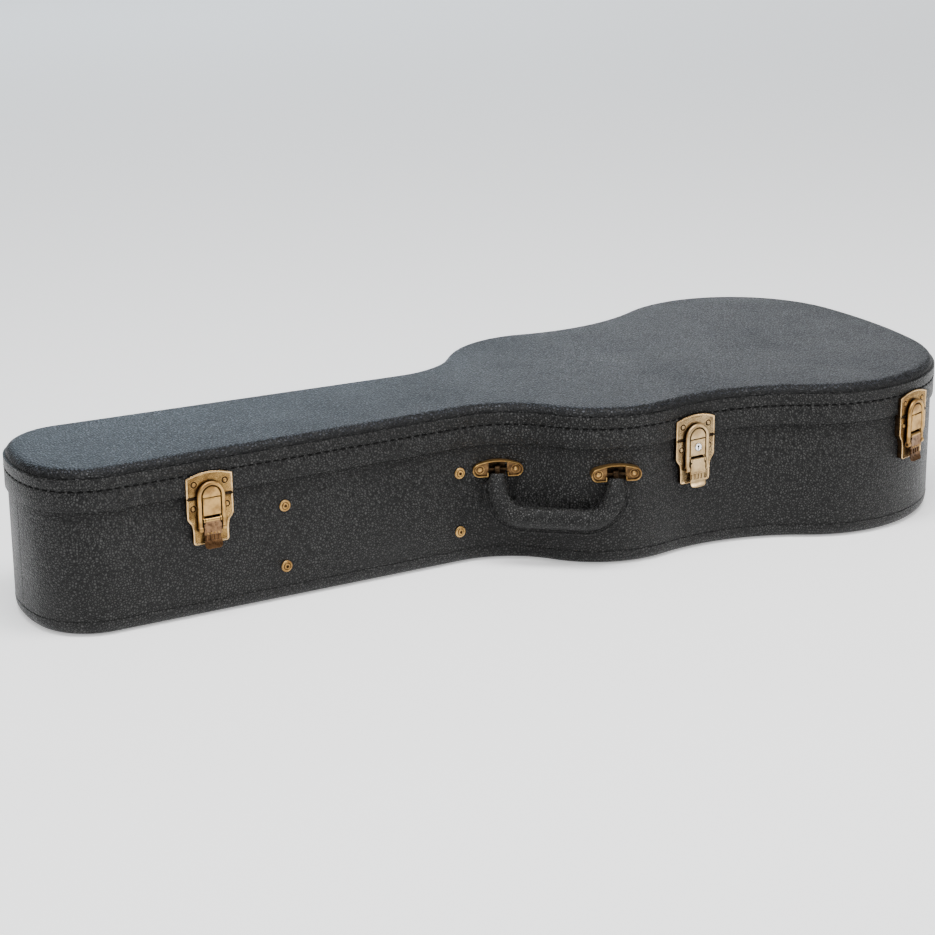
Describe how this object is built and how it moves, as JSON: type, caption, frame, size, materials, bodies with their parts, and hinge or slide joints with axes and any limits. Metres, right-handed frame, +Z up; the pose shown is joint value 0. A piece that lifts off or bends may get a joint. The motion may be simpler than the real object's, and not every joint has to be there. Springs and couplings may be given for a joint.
{
  "type": "guitar case",
  "caption": "Hard-shell guitar case with a rounded guitar outline, hinged lid, drawbolt latches, bail handle and lined inside with a neck cradle and compartment.",
  "frame": {"origin": "centre of the bottom face, at half the case's length on its centre line", "axes": "+X towards the wide tail end, -Y towards the latches and handle, +Y towards the hinges, +Z up"},
  "size_m": [1.08, 0.4453, 0.176],
  "materials": {
    "vinyl": "pebble-grained black vinyl, satin",
    "band_vinyl": "pebble-grained black vinyl with a stitched line",
    "ply": "bare plywood",
    "plush": "short-pile plush",
    "brass": "antique brass plate with darkened hollows",
    "bronze": "darker antique bronze plate",
    "steel": "plain steel",
    "ribbon": "woven ribbon"
  },
  "bodies": {
    "case_body": {"bottom_panel": "ply", "body_shell": "ply", "bottom_cover": "vinyl", "bottom_edge_cover": "vinyl", "body_cover": "vinyl", "rim_binding": "plush", "body_lining": "plush", "floor_lining": "plush", "compartment_head_wall": "plush", "compartment_neck_wall": "plush", "neck_cradle": "plush", "flap_batten": "ply", "compartment_rivets": "brass", "latch_1_base": "brass", "latch_2_base": "brass", "latch_3_base": "brass", "base_rivets": "brass", "lever_pins": "steel", "handle_bracket_head": "brass", "handle_bracket_tail": "brass", "bracket_rivets": "brass", "bracket_pins": "steel", "hinge_upper_body_leaf": "brass", "hinge_lower_body_leaf": "brass", "body_hinge_packers": "vinyl", "body_hinge_rivets": "brass", "hinge_pins": "steel"},
    "lid": {"lid_panel": "ply", "lid_wall": "ply", "lid_cover": "vinyl", "lid_band": "band_vinyl", "lid_wall_lining": "plush", "lid_top_lining": "plush", "latch_1_strike": "brass", "latch_2_strike": "brass", "latch_3_strike": "brass", "strike_rivets": "brass", "hinge_upper_lid_leaf": "brass", "hinge_lower_lid_leaf": "brass", "lid_hinge_packers": "vinyl", "lid_hinge_rivets": "brass"},
    "lever_1": {"latch_1_lever": "bronze", "latch_1_bail_pin": "steel"},
    "bail_1": {"latch_1_bail": "brass"},
    "lever_2": {"latch_2_lever": "bronze", "latch_2_bail_pin": "steel"},
    "bail_2": {"latch_2_bail": "brass"},
    "lever_3": {"latch_3_lever": "bronze", "latch_3_bail_pin": "steel"},
    "bail_3": {"latch_3_bail": "brass"},
    "handle": {"handle_grip": "vinyl", "handle_core": "steel", "handle_seam": "vinyl", "handle_loops": "steel"},
    "lock": {"lock_rotor": "steel", "lock_cam": "steel"},
    "flap": {"compartment_flap": "plush", "flap_tab": "ribbon"}
  },
  "joints": [
    {"name": "lid_hinge", "type": "hinge", "parent": "case_body", "child": "lid", "pos_m": [0.35791, 0.21925, 0.133], "axis": [-0.989, -0.1481, 0], "range_deg": [0, 100]},
    {"name": "latch_1_lever", "type": "hinge", "parent": "case_body", "child": "lever_1", "pos_m": [-0.36188, -0.09243, 0.106], "axis": [-0.9997, -0.024, 0], "range_deg": [0, 130]},
    {"name": "latch_1_bail", "type": "hinge", "parent": "lever_1", "child": "bail_1", "pos_m": [-0.36188, -0.09243, 0.097], "axis": [-0.9997, -0.024, 0], "range_deg": [-160, 0]},
    {"name": "latch_2_lever", "type": "hinge", "parent": "case_body", "child": "lever_2", "pos_m": [0.17247, -0.17, 0.106], "axis": [-0.9975, -0.0704, 0], "range_deg": [0, 130]},
    {"name": "latch_2_bail", "type": "hinge", "parent": "lever_2", "child": "bail_2", "pos_m": [0.17247, -0.17, 0.097], "axis": [-0.9975, -0.0704, 0], "range_deg": [-160, 0]},
    {"name": "latch_3_lever", "type": "hinge", "parent": "case_body", "child": "lever_3", "pos_m": [0.43513, -0.21188, 0.106], "axis": [-0.9415, -0.3371, 0], "range_deg": [0, 130]},
    {"name": "latch_3_bail", "type": "hinge", "parent": "lever_3", "child": "bail_3", "pos_m": [0.43513, -0.21188, 0.097], "axis": [-0.9415, -0.3371, 0], "range_deg": [-160, 0]},
    {"name": "handle_swing", "type": "hinge", "parent": "case_body", "child": "handle", "pos_m": [0.02126, -0.1275, 0.105], "axis": [-0.798, 0.6027, 0], "range_deg": [0, 95]},
    {"name": "lock_turn", "type": "hinge", "parent": "case_body", "child": "lock", "pos_m": [0.17245, -0.1698, 0.121], "axis": [0.0704, -0.9975, 0], "range_deg": [0, 90]},
    {"name": "flap_hinge", "type": "hinge", "parent": "case_body", "child": "flap", "pos_m": [-0.28, 0, 0.1163], "axis": [0, -1, 0], "range_deg": [0, 80]}
  ],
  "couplings": [
    {"joint": "latch_1_bail", "follows": "latch_1_lever", "ratio": -1.2},
    {"joint": "latch_2_bail", "follows": "latch_2_lever", "ratio": -1.2},
    {"joint": "latch_3_bail", "follows": "latch_3_lever", "ratio": -1.2},
    {"joint": "flap_hinge", "follows": "lid_hinge", "ratio": 0.8}
  ]
}
